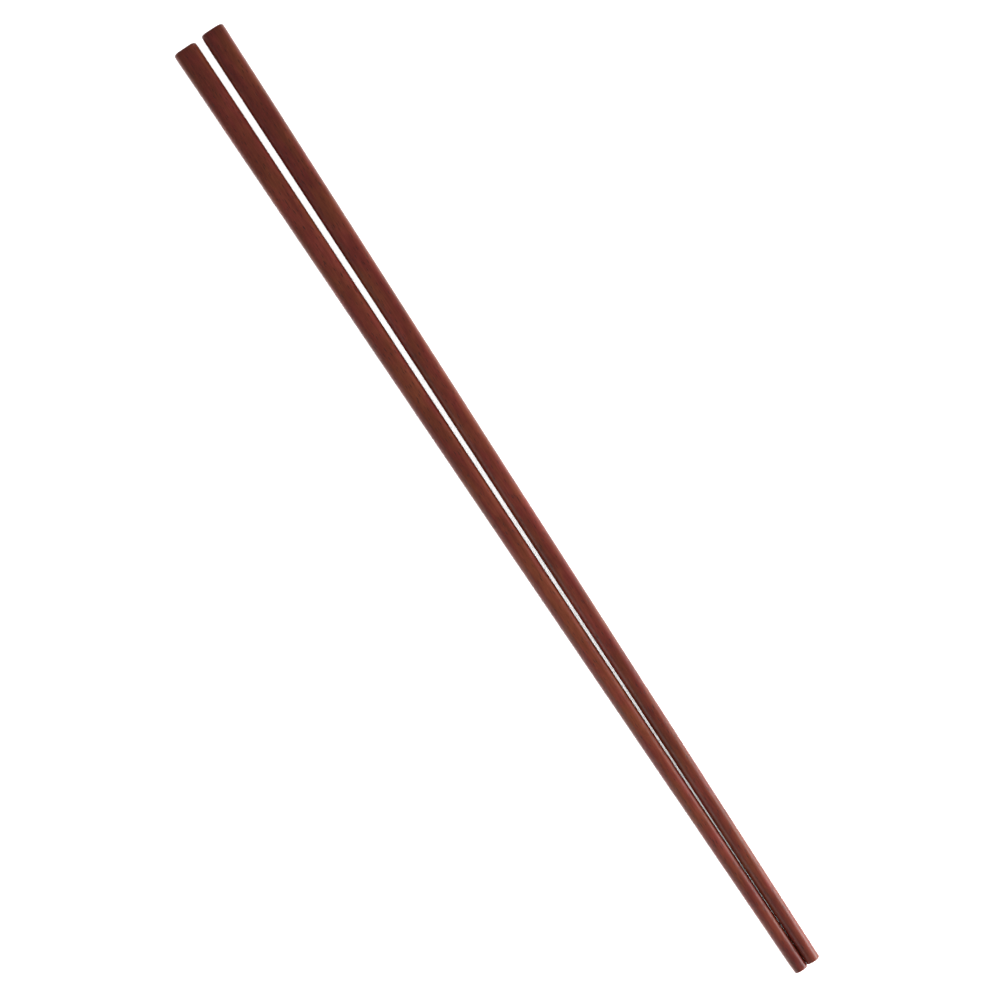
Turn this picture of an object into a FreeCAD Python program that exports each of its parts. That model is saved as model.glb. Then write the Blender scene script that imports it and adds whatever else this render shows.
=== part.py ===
import FreeCAD, Part

import os

# A pair of wooden chopsticks, lying side by side with their tips together.
#
# Each stick is one piece of wood. It starts as a square blank that tapers evenly from the head,
# which is held, to the tip, which picks up the food. Its four long edges, the arrises, are rounded
# to one radius all the way. That leaves broad flats at the head and almost none at the tip, so a
# soft square turns into a round without any step. Both ends are sawn square and eased.
#
# Lengths are in millimetres. The pair lies on the plane Z = 0 with the origin in the middle of
# its footprint. +X runs along the pair from the heads to the tips, and +Z is up.
#
# A tapered stick lies on one of its flats, so its axis leans down towards the tip by half the
# taper. In plan the two axes close up from the gap at the heads to the gap at the tips.

DRIVING_SIZES = [
    ("stick_length", "270", "Length of each stick along its axis"),
    ("head_width", "6.2", "Side of the square blank at the head"),
    ("tip_width", "3.6", "Side of the square blank at the tip"),
    ("tip_flat", "0.2", "Flat left on each side where the rounded arrises nearly meet"),
    ("head_easing", "0.6", "Radius on the rim of the head end"),
    ("tip_easing", "0.45", "Radius on the rim of the tip end"),
    ("head_gap", "1.85", "Space between the two sticks at the heads"),
    ("tip_gap", "0.1", "Space between the two sticks at the tips"),
    ("stagger", "0.25", "How far the left stick lies ahead of the right one"),
]

# Formulas that are used more than once, in the sheet's names
ARRIS_RADIUS = "(min(Sizes.head_width; Sizes.tip_width) - Sizes.tip_flat) / 2"
HEAD_OFFSET = "(Sizes.head_width + Sizes.head_gap) / 2"
TIP_OFFSET = "(Sizes.tip_width + Sizes.tip_gap) / 2"
LEAN_ANGLE = "atan((Sizes.head_width - Sizes.tip_width) / 2 / Sizes.stick_length)"
CLOSING_ANGLE = f"asin(({HEAD_OFFSET} - {TIP_OFFSET}) / Sizes.stick_length)"

# The blank is a wedge that stands on its head: X and Z cross it, and Y runs up its length
BLANK_SIZES = {
    "Ymin": "0",
    "Ymax": "Sizes.stick_length",
    "Xmin": "-Sizes.head_width / 2",
    "Xmax": "Sizes.head_width / 2",
    "Zmin": "-Sizes.head_width / 2",
    "Zmax": "Sizes.head_width / 2",
    "X2min": "-Sizes.tip_width / 2",
    "X2max": "Sizes.tip_width / 2",
    "Z2min": "-Sizes.tip_width / 2",
    "Z2max": "Sizes.tip_width / 2",
}
UP = FreeCAD.Vector(0, 0, 1)
LENGTH_ALONG_X = FreeCAD.Placement(FreeCAD.Vector(), FreeCAD.Rotation(UP, -90))

# The side of the pair that a stick lies on, seen from the tips: -Y is left and +Y is right
LEFT = -1
RIGHT = 1
STICKS = [("left_chopstick", LEFT), ("right_chopstick", RIGHT)]

# Two places closer than this, in millimetres, are the same place
SAME_PLACE = 1e-3


def make_sheet(doc):
    """Writes the driving sizes, one row each: what it is, its value and its alias."""
    sheet = doc.addObject("Spreadsheet::Sheet", "Sizes")
    for row, (alias, value, meaning) in enumerate(DRIVING_SIZES, start=1):
        sheet.set(f"A{row}", meaning)
        sheet.set(f"B{row}", value)
        sheet.setAlias(f"B{row}", alias)
    doc.recompute()


def base_plane(body, role):
    """One of the body's own base planes."""
    return next(item for item in body.Origin.OriginFeatures if item.Role == role)


def edges_along(shape):
    """Names of the edges that run from one end of the stick to the other."""
    reach = shape.BoundBox.XLength
    return [
        f"Edge{number}"
        for number, edge in enumerate(shape.Edges, start=1)
        if edge.BoundBox.XLength > reach / 2
    ]


def edges_across(shape, distance):
    """Names of the edges that lie square to the axis at a distance from the head."""
    return [
        f"Edge{number}"
        for number, edge in enumerate(shape.Edges, start=1)
        if abs(edge.BoundBox.XMin - distance) < SAME_PLACE
        and abs(edge.BoundBox.XMax - distance) < SAME_PLACE
    ]


def taper_blank(body, name):
    """Cuts the square blank that tapers along +X from its head at the body's origin."""
    blank = body.newObject("PartDesign::AdditiveWedge", name)
    blank.AttachmentSupport = [(base_plane(body, "XY_Plane"), "")]
    blank.MapMode = "FlatFace"
    blank.AttachmentOffset = LENGTH_ALONG_X
    for size, formula in BLANK_SIZES.items():
        blank.setExpression(size, formula)
    body.Document.recompute()
    return blank


def round_edges(body, name, base, edge_names, radius):
    """Rounds some edges of a feature to a radius."""
    fillet = body.newObject("PartDesign::Fillet", name)
    fillet.Base = (base, edge_names)
    fillet.setExpression("Radius", radius)
    body.Document.recompute()
    return fillet


def lay_down(body, side):
    """Lays the stick on its flat on its own side of the pair, with its tip closed in."""
    body.setExpression("Placement.Base.x", f"-Sizes.stick_length / 2 - {side} * Sizes.stagger / 2")
    body.setExpression("Placement.Base.y", f"{side} * {HEAD_OFFSET}")
    body.setExpression("Placement.Base.z", f"Sizes.head_width / 2 * cos({LEAN_ANGLE})")
    body.setExpression("Placement.Rotation.Pitch", LEAN_ANGLE)
    body.setExpression("Placement.Rotation.Yaw", f"{-side} * {CLOSING_ANGLE}")


def make_chopstick(doc, label, side):
    """Shapes one stick from its blank: the long arrises first, then the rim of each end."""
    body = doc.addObject("PartDesign::Body", label)
    body.Label = label

    blank = taper_blank(body, f"{label}_blank")
    arrises = edges_along(blank.Shape)
    rounded = round_edges(body, f"{label}_rounded", blank, arrises, ARRIS_RADIUS)
    head_rim = edges_across(rounded.Shape, 0)
    eased = round_edges(body, f"{label}_eased_head", rounded, head_rim, "Sizes.head_easing")
    tip_rim = edges_across(eased.Shape, doc.Sizes.stick_length)
    round_edges(body, f"{label}_eased_tip", eased, tip_rim, "Sizes.tip_easing")

    lay_down(body, side)
    return body


def check_model(doc, bodies):
    """Stops unless every object is computed and every stick is one sound solid."""
    for item in doc.Objects:
        if "Invalid" in item.State or "Error" in item.State:
            raise RuntimeError(f"{item.Label} could not be computed: {item.State}")
    for body in bodies:
        shape = body.Shape
        if shape.isNull() or not shape.isValid() or len(shape.Solids) != 1:
            raise RuntimeError(f"{body.Label} is not one sound solid")


def main():
    doc = FreeCAD.newDocument("Chopsticks")
    make_sheet(doc)
    bodies = [make_chopstick(doc, label, side) for label, side in STICKS]
    doc.recompute()
    check_model(doc, bodies)

    os.makedirs("parts", exist_ok=True)
    for body in bodies:
        body.Shape.exportStep(f"parts/{body.Label}.step")
        box = body.Shape.BoundBox
        print(
            f"{body.Label}: {body.Shape.Volume:.1f} mm3, "
            f"x {box.XMin:.3f} to {box.XMax:.3f}, "
            f"y {box.YMin:.3f} to {box.YMax:.3f}, "
            f"z {box.ZMin:.3f} to {box.ZMax:.3f}"
        )


main()
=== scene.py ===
# %% [markdown]
# # A pair of wooden chopsticks
#
# Two slim sticks of dense red-brown hardwood lie side by side on a white table. Their heads, the
# thick ends that are held, have a small gap between them, and their tips almost touch.
#
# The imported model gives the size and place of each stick. This lesson models one stick as a maker
# shapes it, lays a copy in each place, and then makes the wood, the table, the light and the
# camera.

import math

import bpy
from mathutils import Matrix, Vector


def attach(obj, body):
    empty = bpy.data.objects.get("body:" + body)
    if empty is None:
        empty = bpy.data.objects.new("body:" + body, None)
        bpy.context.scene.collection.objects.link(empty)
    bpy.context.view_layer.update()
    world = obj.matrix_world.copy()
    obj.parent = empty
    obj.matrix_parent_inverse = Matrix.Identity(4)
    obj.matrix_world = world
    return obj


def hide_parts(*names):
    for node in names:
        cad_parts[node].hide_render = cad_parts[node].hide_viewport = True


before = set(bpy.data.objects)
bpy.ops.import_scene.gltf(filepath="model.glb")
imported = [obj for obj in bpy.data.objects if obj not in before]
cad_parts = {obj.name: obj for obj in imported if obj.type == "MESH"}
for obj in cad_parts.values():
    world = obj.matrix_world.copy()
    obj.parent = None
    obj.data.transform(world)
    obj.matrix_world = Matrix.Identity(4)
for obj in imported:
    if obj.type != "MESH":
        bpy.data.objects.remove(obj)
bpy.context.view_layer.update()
MM = 0.001

print("Packed nodes:", sorted(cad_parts))

# %% [markdown]
# ## Where each stick lies
#
# A stick is a square stick of wood that tapers from head to tip. It lies on one of its flats, so
# the height of its axis above the table is half its width, and two points tell all about it: the
# middle of its head and the middle of its tip. They are read from the flat end faces of the packed
# solids, so that no size is written twice.

# %% Read the axis of each stick
STRAIGHT_ON = math.cos(math.radians(2))  # an end face leans away from X by less than this


def end_middle(node, side):
    """The middle of a packed stick's head, side -1, or of its tip, side 1."""
    mesh = node.data
    faces = [face for face in mesh.polygons if face.normal.x * side > STRAIGHT_ON]
    points = [mesh.vertices[index].co for face in faces for index in face.vertices]
    low = Vector([min(point[axis] for point in points) for axis in range(3)])
    high = Vector([max(point[axis] for point in points) for axis in range(3)])
    return (low + high) / 2


sticks = {}
for name in ("left_chopstick", "right_chopstick"):
    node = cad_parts[name]
    sticks[name] = {"head": end_middle(node, -1), "tip": end_middle(node, 1)}
    run = sticks[name]["tip"] - sticks[name]["head"]
    print(f"{name}: {run.length / MM:.2f} mm long")

first = sticks["left_chopstick"]
stick_length = (first["tip"] - first["head"]).length
head_width = 2 * first["head"].z
tip_width = 2 * first["tip"].z
print(f"Head {head_width / MM:.2f} mm square, tip {tip_width / MM:.2f} mm square")

# %% [markdown]
# ## The blank
#
# The maker starts from a square strip and planes all four sides to a taper. A cube gives the
# strip: it is added at the stick's full length and at the head's width, and then its tip face is
# made smaller. An operator acts on all that is selected, so a small helper first selects nothing,
# and then just the faces or edges that a rule picks.

# %% Make the tapered blank
def pick(kind, rule):
    """In edit mode, selects just those faces or edges for which the rule holds."""
    bpy.ops.mesh.select_all(action="DESELECT")
    bpy.ops.mesh.select_mode(type=kind)
    bpy.ops.object.mode_set(mode="OBJECT")
    mesh = bpy.context.object.data
    elements = {"EDGE": mesh.edges, "FACE": mesh.polygons}[kind]
    for element in elements:
        element.select = rule(mesh, element)
    bpy.ops.object.mode_set(mode="EDIT")


def ends_of(mesh, edge):
    """The two end points of an edge."""
    return [mesh.vertices[index].co for index in edge.vertices]


def faces_tip(mesh, face):
    return face.normal.x > STRAIGHT_ON


bpy.ops.object.select_all(action="DESELECT")
bpy.ops.mesh.primitive_cube_add(
    size=1, location=(stick_length / 2, 0, 0), scale=(stick_length, head_width, head_width)
)
stick = bpy.context.object
stick.name = "stick"
bpy.ops.object.transform_apply(location=True, rotation=True, scale=True)

narrower = tip_width / head_width
bpy.ops.object.mode_set(mode="EDIT")
pick("FACE", faces_tip)
bpy.ops.transform.resize(value=(1, narrower, narrower))
print("Blank:", len(stick.data.polygons), "faces")

# %% [markdown]
# ## Rounding the long arrises
#
# The four long edges, the arrises, are rounded with one radius from head to tip. At the head that
# leaves broad flats, and at the tip the roundings almost meet, so the same radius turns a soft
# square into a round. Bevel with many segments does this in one step, because its offset stays the
# same along an edge.

# %% Round the arrises
ARRIS_RADIUS = 1.7 * MM
ARRIS_SEGMENTS = 12


def runs_along(mesh, edge):
    start, end = ends_of(mesh, edge)
    return abs(start.x - end.x) > stick_length / 2


pick("EDGE", runs_along)
bpy.ops.mesh.bevel(offset=ARRIS_RADIUS, segments=ARRIS_SEGMENTS, profile=0.5, affect="EDGES")
bpy.ops.object.mode_set(mode="OBJECT")
print("Rounded:", len(stick.data.polygons), "faces")

# %% [markdown]
# ## Easing the ends
#
# The ends are sawn square, and their rims are eased with fine paper so that they are kind to the
# hand and the lips. The rim of an end is every edge that lies in its plane. After the rim has been
# rounded, the flat that is left is inset and pushed out by a hair, three times, because a sanded
# end is never quite flat. The insets stay smaller than the flat's rounded corners, or their edges
# would cross. Poke then closes the middle with a fan of triangles, which shades evenly.

# %% Ease the rims and crown the ends
HEAD_EASING = 0.6 * MM
TIP_EASING = 0.45 * MM
EASING_SEGMENTS = 7
SAME_PLACE = 0.001 * MM
CROWN_STEPS = 3
CROWN_INSET = 0.28  # of the radius of the flat's corners, each step
CROWN_HEIGHT = 0.012 * MM  # each step


def ease_end(place, easing):
    """Rounds the rim of the end at a place along the stick, and crowns the flat that is left."""
    outwards = 1 if place > stick_length / 2 else -1

    def in_end(mesh, edge):
        return all(abs(point.x - place) < SAME_PLACE for point in ends_of(mesh, edge))

    def is_end_face(mesh, face):
        return face.normal.x * outwards > STRAIGHT_ON and abs(face.center.x - place) < SAME_PLACE

    pick("EDGE", in_end)
    bpy.ops.mesh.bevel(offset=easing, segments=EASING_SEGMENTS, profile=0.5, affect="EDGES")
    pick("FACE", is_end_face)
    for _ in range(CROWN_STEPS):
        bpy.ops.mesh.inset(thickness=(ARRIS_RADIUS - easing) * CROWN_INSET)
        bpy.ops.transform.translate(value=(CROWN_HEIGHT * outwards, 0, 0))
    bpy.ops.mesh.poke()


bpy.ops.object.mode_set(mode="EDIT")
ease_end(0, HEAD_EASING)
ease_end(stick_length, TIP_EASING)

# %% [markdown]
# ## Points along the length
#
# So far each side is one face from head to tip. The next step, and smooth shading, need points
# along the length. Loop cut needs a window, but subdividing all the long edges at once does the
# same: it cuts the stick into short rings.

# %% Divide the length into rings
RING_LENGTH = 2.5 * MM

pick("EDGE", runs_along)
bpy.ops.mesh.subdivide(number_cuts=round(stick_length / RING_LENGTH) - 1)
bpy.ops.mesh.select_all(action="SELECT")
bpy.ops.mesh.normals_make_consistent(inside=False)
bpy.ops.object.mode_set(mode="OBJECT")
bpy.ops.object.shade_smooth()
print("With rings:", len(stick.data.polygons), "faces")

# %% [markdown]
# ## The hand's unevenness
#
# A planed and sanded flat is true to a few hundredths of a millimetre, no better. That is too
# little to see in the outline, but the light that runs along a rounded arris shows it as a line
# that swells and thins. A Displace modifier with a soft cloud texture gives it, and is applied.

# %% Make the surface a little uneven
UNEVEN_HEIGHT = 0.05 * MM
UNEVEN_LENGTH = 14 * MM

clouds = bpy.data.textures.new("sanding", type="CLOUDS")
clouds.noise_scale = UNEVEN_LENGTH
clouds.noise_depth = 1
bpy.ops.object.modifier_add(type="DISPLACE")
displace = stick.modifiers[-1]
displace.texture = clouds
displace.texture_coords = "LOCAL"
displace.strength = UNEVEN_HEIGHT
displace.mid_level = 0.5
bpy.ops.object.modifier_apply(modifier=displace.name)

# %% [markdown]
# ## Laying the two sticks down
#
# The second stick is a copy with a mesh of its own. It is rolled a quarter turn about its axis, so
# that the same unevenness never shows side by side. Each is then laid along its own axis with its
# flat on the table, and the place is applied to the mesh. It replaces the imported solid.
#
# Wood moves a little as it dries, so a long stick is never quite straight. The rings about the
# middle are pulled sideways by a tenth of a millimetre or so with proportional editing, whose pull
# fades away smoothly and is gone at the ends. The tips lean together by a hair, so that the white
# table hardly shows between them.

# %% Lay each stick in its place
BOW_REACH = 0.55 * stick_length
MIDDLE_RINGS = 3 * MM
TIPS_TOGETHER = 0.045 * MM  # how far each tip moves


def lie_along(head, tip, roll):
    """The matrix that takes a stick along +X from the origin to its place, rolled by an angle."""
    along = (tip - head).normalized()
    across = Vector((0, 0, 1)).cross(along).normalized()
    turn = Matrix((along, across, along.cross(across))).transposed().to_4x4()
    return Matrix.Translation(head) @ turn @ Matrix.Rotation(roll, 4, "X")


def near_middle(mesh, edge):
    return all(abs(point.x) < MIDDLE_RINGS for point in ends_of(mesh, edge))


def lay_down(piece, node_name, roll, bow):
    head, tip = sticks[node_name]["head"], sticks[node_name]["tip"]
    towards_other = Vector((0, -math.copysign(TIPS_TOGETHER, tip.y), 0))
    piece.matrix_world = lie_along(head, tip + towards_other, roll)
    bpy.ops.object.select_all(action="DESELECT")
    piece.select_set(True)
    bpy.context.view_layer.objects.active = piece
    bpy.ops.object.transform_apply(location=True, rotation=True, scale=True)
    bpy.ops.object.mode_set(mode="EDIT")
    pick("EDGE", near_middle)
    bpy.ops.transform.translate(
        value=(0, bow, 0), use_proportional_edit=True, proportional_size=BOW_REACH
    )
    bpy.ops.object.mode_set(mode="OBJECT")
    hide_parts(node_name)
    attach(piece, "root")
    low, high = [Vector(corner) / MM for corner in (piece.bound_box[0], piece.bound_box[6])]
    print(f"{piece.name}: from {low.to_tuple(2)} to {high.to_tuple(2)} mm")


QUARTER_TURN = math.radians(90)
LEFT_BOW = -0.15 * MM
RIGHT_BOW = -0.1 * MM

right_stick = stick.copy()
right_stick.data = stick.data.copy()
bpy.context.collection.objects.link(right_stick)
stick.name = "left_stick"
right_stick.name = "right_stick"
lay_down(stick, "left_chopstick", 0, LEFT_BOW)
lay_down(right_stick, "right_chopstick", QUARTER_TURN, RIGHT_BOW)

# %% [markdown]
# ## The wood
#
# The real sticks are a dense tropical hardwood with red-brown heartwood, sanded fine and rubbed
# with oil. To the eye that means a low, soft gloss, long faint streaks of darker and redder wood,
# and fine open pores, which are dashes on the sides and dots on the sawn ends.
#
# Wood is solid all through, so its pattern is too: each texture is a three-dimensional one that is
# stretched along the stick. A Mapping node first turns the object's coordinates into millimetres
# along and across the stick, measured from the middle of its head. A second one stretches them to
# the real size of each feature. The layers of growth are broad sheets that cross the stick at a
# slant, a different one in each, because a stick is cut from a board without regard to them.

# %% Colours and a helper for nodes
def srgb(code):
    """The linear colour of an sRGB hex value."""
    values = [int(code[place:place + 2], 16) / 255 for place in (1, 3, 5)]
    linear = [v / 12.92 if v <= 0.04045 else ((v + 0.055) / 1.055) ** 2.4 for v in values]
    return (*linear, 1)


def add(tree, kind, inputs=(), **settings):
    """Adds a node. Its inputs are given by name or number, as a value or as a socket to link."""
    new = tree.nodes.new(kind)
    for name, value in settings.items():
        setattr(new, name, value)
    for key, value in dict(inputs).items():
        if isinstance(value, bpy.types.NodeSocket):
            tree.links.new(value, new.inputs[key])
        else:
            new.inputs[key].default_value = value
    return new


# %% [markdown]
# Three noises are mixed to one tone from dark to light. The hue wanders as well: two colour ramps
# turn the tone into red wood and into brown wood, and a fourth noise blends them in soft patches.
# The pores are the middles of long Voronoi cells. They and the fibres also stand a little below and
# above the surface, which breaks the gloss up as the grain does on an oiled stick. The fibres change
# the roughness too.

# %% Make the oiled hardwood
LAYER = (45, 1.1, 6)  # sheets of growth: length, thickness and breadth in mm
CLOUD = (15, 5, 5)  # slow change of tone
FIBRE = (4, 0.35, 0.35)  # bundles of fibres, drawn coarse enough to show
PATCH = (13, 3.2, 3.2)  # slow change of hue
PORE = (3.2, 0.36, 0.36)  # the cell that holds one pore
PORE_WIDTH = 0.24  # of its cell
PORE_COLOUR = "#3A1813"
FINER_SHARE = 0.6  # of a noise's strength that is kept in each finer layer of it
RELIEF = 0.02 * MM  # how deep the pores are, and how far the fibres stand up
LAYER_SHARE = 0.3  # of the tone
CLOUD_SHARE = 0.4
FIBRE_SHARE = 0.3
TONES = (0.35, 0.5, 0.65)  # of the dark, middle and light wood
REDS = ("#691F19", "#833126", "#9B4335")
BROWNS = ("#662716", "#803A21", "#974C2E")
REDDEST = 0.38  # where the noise of the hue is below this, the wood is all red
BROWNEST = 0.62  # and above this, it is all brown
SMOOTHEST = 0.32
ROUGHEST = 0.46
OILED_IOR = 1.48


def stretched(tree, place, size, shift):
    """Coordinates, from ones in mm, in which a feature of this size in mm measures one."""
    return add(
        tree,
        "ShaderNodeMapping",
        {"Vector": place, "Location": shift, "Scale": [1 / length for length in size]},
    ).outputs["Vector"]


def noise(tree, place, detail):
    """A cloudy pattern from 0 to 1, mostly near a half."""
    settings = {"Vector": place, "Scale": 1, "Detail": detail, "Roughness": FINER_SHARE}
    return add(tree, "ShaderNodeTexNoise", settings).outputs["Fac"]


def toned(tree, tone, colours):
    """The colours from dark to light, laid over the tone."""
    ramp = add(tree, "ShaderNodeValToRGB", {"Fac": tone})
    ramp.color_ramp.elements.new(0.5)
    for stop, place, code in zip(ramp.color_ramp.elements, TONES, colours):
        stop.position = place
        stop.color = srgb(code)
    return ramp.outputs["Color"]


def blended(tree, share, colour, other):
    """One colour with a share of another."""
    inputs = {"Factor": share, 6: colour, 7: other}
    return add(tree, "ShaderNodeMix", inputs, data_type="RGBA").outputs[2]


def oiled_hardwood(name, node_name, slant, shift):
    """The wood of one stick, in which the sheets of growth have a slant about its axis.

    The shift moves the pattern, so that no two sticks are alike.
    """
    material = bpy.data.materials.new(name)
    material.use_nodes = True
    tree = material.node_tree
    tree.nodes.clear()

    position = add(tree, "ShaderNodeTexCoord").outputs["Object"]
    axis = sticks[node_name]
    turn = lie_along(axis["head"], axis["tip"], slant).to_euler()
    place = add(
        tree,
        "ShaderNodeMapping",
        {"Vector": position, "Location": axis["head"], "Rotation": turn, "Scale": (MM, MM, MM)},
        vector_type="TEXTURE",
    ).outputs["Vector"]

    layer = noise(tree, stretched(tree, place, LAYER, shift), 4)
    cloud = noise(tree, stretched(tree, place, CLOUD, shift), 3)
    fibre = noise(tree, stretched(tree, place, FIBRE, shift), 2)
    cell = add(
        tree, "ShaderNodeTexVoronoi", {"Vector": stretched(tree, place, PORE, shift), "Scale": 1}
    ).outputs["Distance"]
    pore_range = {"Value": cell, "From Min": PORE_WIDTH / 2, "From Max": PORE_WIDTH}
    pore = add(tree, "ShaderNodeMapRange", {**pore_range, "To Min": 1, "To Max": 0}).outputs[0]

    tone = 0.0
    for part, share in ((layer, LAYER_SHARE), (cloud, CLOUD_SHARE), (fibre, FIBRE_SHARE)):
        tone = add(
            tree, "ShaderNodeMath", {0: part, 1: share, 2: tone}, operation="MULTIPLY_ADD"
        ).outputs[0]
    patch = noise(tree, stretched(tree, place, PATCH, shift), 2)
    patch_range = {"Value": patch, "From Min": REDDEST, "From Max": BROWNEST}
    brownness = add(tree, "ShaderNodeMapRange", patch_range).outputs["Result"]
    wood = blended(tree, brownness, toned(tree, tone, REDS), toned(tree, tone, BROWNS))
    colour = blended(tree, pore, wood, srgb(PORE_COLOUR))

    height = add(tree, "ShaderNodeMath", {0: fibre, 1: pore}, operation="SUBTRACT")
    bump = add(tree, "ShaderNodeBump", {"Height": height.outputs[0], "Distance": RELIEF})
    roughness = add(
        tree, "ShaderNodeMapRange", {"Value": fibre, "To Min": SMOOTHEST, "To Max": ROUGHEST}
    )
    shader = add(
        tree,
        "ShaderNodeBsdfPrincipled",
        {
            "Base Color": colour,
            "Roughness": roughness.outputs["Result"],
            "IOR": OILED_IOR,
            "Normal": bump.outputs["Normal"],
        },
    )
    add(tree, "ShaderNodeOutputMaterial", {"Surface": shader.outputs[0]})
    return material


LEFT_SLANT = math.radians(90)
RIGHT_SLANT = math.radians(65)
LEFT_SHIFT = (21.6, 31.3, 6.5)
RIGHT_SHIFT = (34.4, 38.1, 15.4)

woods = {
    "left_stick": oiled_hardwood(
        "oiled_hardwood_left", "left_chopstick", LEFT_SLANT, LEFT_SHIFT
    ),
    "right_stick": oiled_hardwood(
        "oiled_hardwood_right", "right_chopstick", RIGHT_SLANT, RIGHT_SHIFT
    ),
}
for piece in (stick, right_stick):
    piece.data.materials.clear()
    piece.data.materials.append(woods[piece.name])

# %% [markdown]
# ## The table
#
# The photograph shows the pair on pure white. A round white table whose rim rises to a wall gives
# that from every side. It is painted, flat and matt, so it has no gloss of its own, and it lies a
# hair below the sticks, which touch it only where their sides bulge.
#
# So large a white table throws a lot of light back up, and the sides of the sticks would look paler
# than the wood is. So the paint has two whites. The camera and anything that mirrors or lets light
# through see the bright one, with the shadow of the sticks on it. Only the soft light that the
# table throws back on the sticks comes from the duller one.

# %% Make the table
TABLE_RADIUS = 3
TABLE_SIDES = 96
WALL_HEIGHT = 2.5
TABLE_DROP = 0.02 * MM
PAINT_WHITE = 0.9
DULLER_WHITE = 0.38

bpy.ops.object.select_all(action="DESELECT")
bpy.ops.mesh.primitive_circle_add(
    vertices=TABLE_SIDES, radius=TABLE_RADIUS, fill_type="NGON", location=(0, 0, -TABLE_DROP)
)
table = bpy.context.object
table.name = "table"
bpy.ops.object.mode_set(mode="EDIT")
bpy.ops.mesh.select_all(action="SELECT")
bpy.ops.mesh.select_mode(type="EDGE")
bpy.ops.mesh.region_to_loop()
bpy.ops.mesh.extrude_region_move(TRANSFORM_OT_translate={"value": (0, 0, WALL_HEIGHT)})
bpy.ops.object.mode_set(mode="OBJECT")

paint = bpy.data.materials.new("matt_white_paint")
paint.use_nodes = True
painted = paint.node_tree.nodes["Principled BSDF"].inputs
painted["Roughness"].default_value = 1
painted["Specular IOR Level"].default_value = 0
ray = add(paint.node_tree, "ShaderNodeLightPath").outputs
seen = ray["Is Camera Ray"]
for kind in ("Is Glossy Ray", "Is Transmission Ray"):
    seen = add(paint.node_tree, "ShaderNodeMath", {0: seen, 1: ray[kind]}, operation="MAXIMUM")
    seen = seen.outputs["Value"]
whites = [(level, level, level, 1) for level in (DULLER_WHITE, PAINT_WHITE)]
white = blended(paint.node_tree, seen, *whites)
paint.node_tree.links.new(white, painted["Base Color"])
table.data.materials.append(paint)

# %% [markdown]
# ## The light
#
# In the photograph the sticks are brightest at the tips, their right shoulders carry a long pale
# gloss, and their flats carry almost none. So one strong, soft lamp stands low down, between the
# tips' end and the right. A weak one higher up beyond the tips, another weak one on the left and a
# dim sky keep the other sides from going black.
#
# The last lamp is a plain trick of the trade. It shines straight down on the table alone, so the
# table is white whatever falls on the sticks. The sticks still shade it, which keeps the gap
# between them white where it is wide, and lets it go dark where the tips close in.

# %% Light the sticks
SKY = 0.26
LAMP_DISTANCE = 0.45
TOWARDS_TIPS = (0.06, 0, 0)
NEAR_TIPS = (0.1, 0, 0)

world = bpy.data.worlds.new("studio")
bpy.context.scene.world = world
world.use_nodes = True
sky = world.node_tree.nodes["Background"].inputs
sky["Color"].default_value = (1, 1, 1, 1)
sky["Strength"].default_value = SKY


def panel(name, towards, turn, rise, size, radiance):
    """A soft lamp that shines on a place from a little under half a metre away.

    It stands turned from +X by one angle and risen from the table by another, both in degrees.
    Radiance is its brightness, where a table lit from all sides with 1 looks just white.
    """
    turn, rise = math.radians(turn), math.radians(rise)
    data = bpy.data.lights.new(name, type="AREA")
    data.shape = "RECTANGLE"
    data.size, data.size_y = size
    data.energy = radiance * math.pi * size[0] * size[1]
    lamp = bpy.data.objects.new(name, data)
    bpy.context.collection.objects.link(lamp)
    away = Vector((math.cos(turn) * math.cos(rise), math.sin(turn) * math.cos(rise), math.sin(rise)))
    lamp.location = Vector(towards) + away * LAMP_DISTANCE
    lamp.rotation_euler = away.to_track_quat("Z", "Y").to_euler()
    lamp.visible_camera = False
    return lamp


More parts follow.
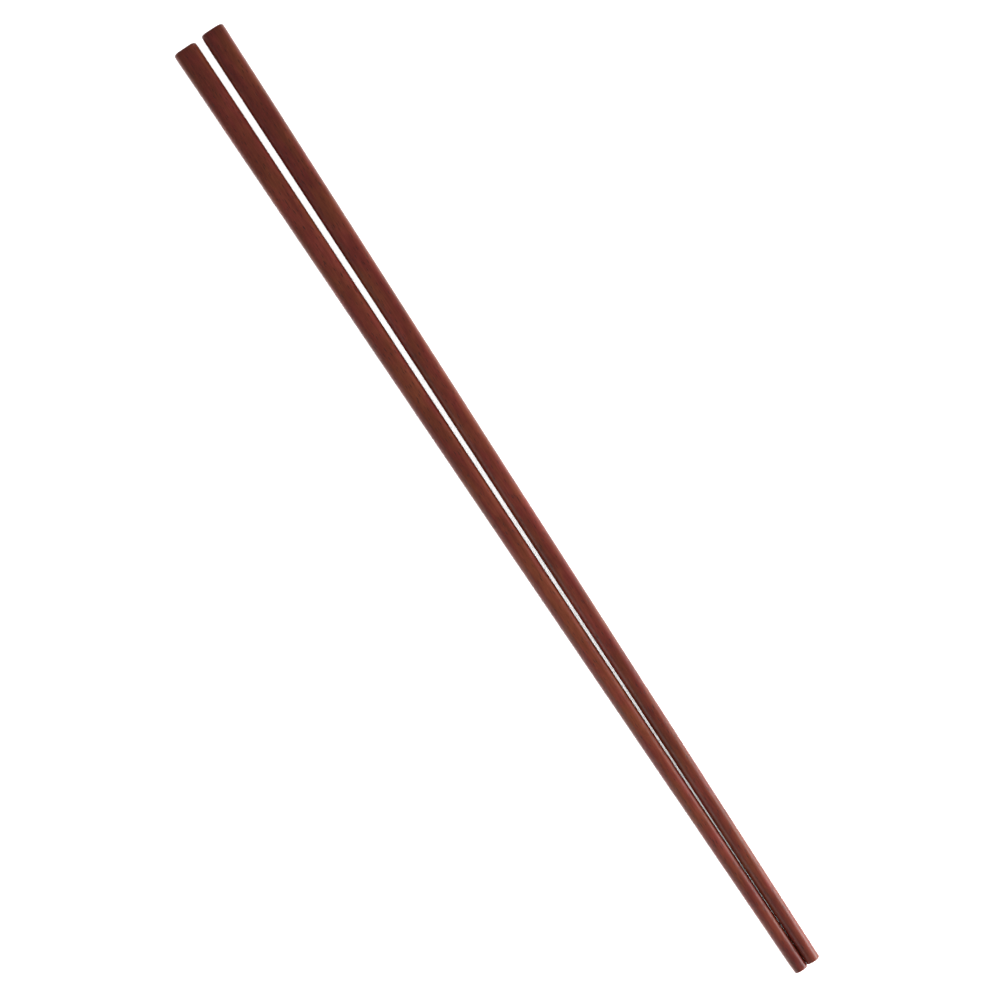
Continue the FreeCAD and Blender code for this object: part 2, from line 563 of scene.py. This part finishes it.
panel("right_panel", TOWARDS_TIPS, turn=52, rise=15, size=(0.4, 0.16), radiance=12.5)
panel("tip_panel", TOWARDS_TIPS, turn=0, rise=50, size=(0.2, 0.2), radiance=0.8)
panel("left_fill", NEAR_TIPS, turn=-90, rise=35, size=(0.3, 0.2), radiance=1.6)

# %% Light the table
SUN_LEVEL = 1.5  # 1 makes the open table just white, and more keeps the narrow gap light too
SUN_ANGLE = math.radians(35)

only_table = bpy.data.collections.new("only_table")
only_table.objects.link(table)
sun_data = bpy.data.lights.new("table_lamp", type="SUN")
sun_data.energy = SUN_LEVEL * math.pi / PAINT_WHITE
sun_data.angle = SUN_ANGLE
sun = bpy.data.objects.new("table_lamp", sun_data)
bpy.context.collection.objects.link(sun)
sun.location = (0, 0, 1)
sun.light_linking.receiver_collection = only_table

# %% [markdown]
# ## The camera
#
# The photograph looks straight down, with the pair running from the upper left to the lower right.
# The camera is turned about the vertical by the pair's slant in the picture, stands at the height
# from which a 100 mm lens sees just the photograph's width, and is moved sideways until the pair's
# middle lies where the photograph has it.

# %% Set the camera
IMAGE_SIZE = 1002
PIXELS_PER_MM = 4.102
PAIR_MIDDLE = (503.45, 503.3)
PAIR_TURN = math.radians(56.64)
SENSOR = 36
LENS = 100
EYE_LEVEL = 2.4 * MM

camera_data = bpy.data.cameras.new("camera")
camera_data.sensor_width = SENSOR
camera_data.lens = LENS
camera = bpy.data.objects.new("camera", camera_data)
bpy.context.collection.objects.link(camera)
frame_width = IMAGE_SIZE / PIXELS_PER_MM * MM
distance = frame_width * LENS / SENSOR
right = Vector((math.cos(PAIR_TURN), math.sin(PAIR_TURN), 0))
up = Vector((-math.sin(PAIR_TURN), math.cos(PAIR_TURN), 0))
off_right = (PAIR_MIDDLE[0] - IMAGE_SIZE / 2) / PIXELS_PER_MM * MM
off_down = (PAIR_MIDDLE[1] - IMAGE_SIZE / 2) / PIXELS_PER_MM * MM
camera.location = Vector((0, 0, EYE_LEVEL + distance)) - right * off_right + up * off_down
camera.rotation_euler = (0, 0, PAIR_TURN)
bpy.context.scene.camera = camera
bpy.context.scene.view_settings.view_transform = "Standard"
